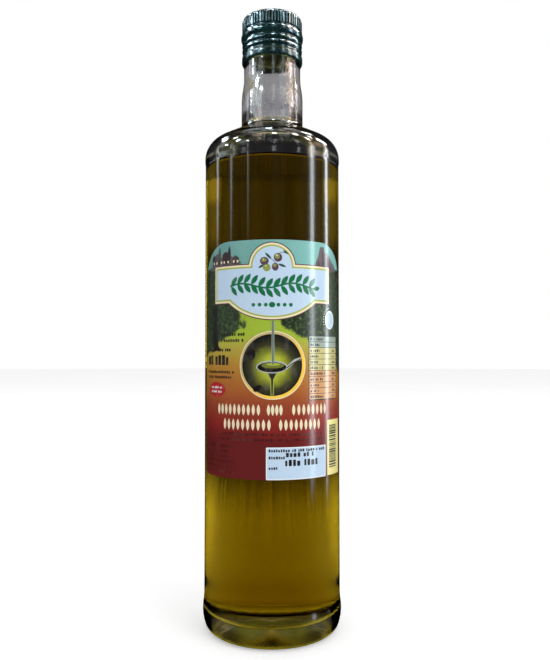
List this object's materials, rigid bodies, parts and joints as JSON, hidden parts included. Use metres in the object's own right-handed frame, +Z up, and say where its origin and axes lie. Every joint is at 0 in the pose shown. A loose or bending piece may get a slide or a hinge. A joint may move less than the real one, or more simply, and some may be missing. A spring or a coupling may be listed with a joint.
{
  "type": "olive oil bottle",
  "caption": "Round clear glass bottle of golden olive oil with a long body, a short neck, a dark green knurled roll-on metal cap and a wrap label.",
  "frame": {"origin": "centre of the ring that the bottle stands on", "axes": "+Z up along the bottle's axis; the label's front faces -Y"},
  "size_m": [0.0712, 0.0712, 0.3173],
  "materials": {
    "clear_glass": "clear, polished",
    "olive_oil": "clear golden olive liquid",
    "cap_metal": "gloss lacquered aluminium",
    "band_metal": "gloss lacquered aluminium",
    "label_paper": "semi-gloss printed paper"
  },
  "bodies": {
    "root": {"glass": "clear_glass", "oil": "olive_oil", "cap": "cap_metal", "tamper_band": "band_metal", "label": "label_paper"}
  },
  "joints": []
}
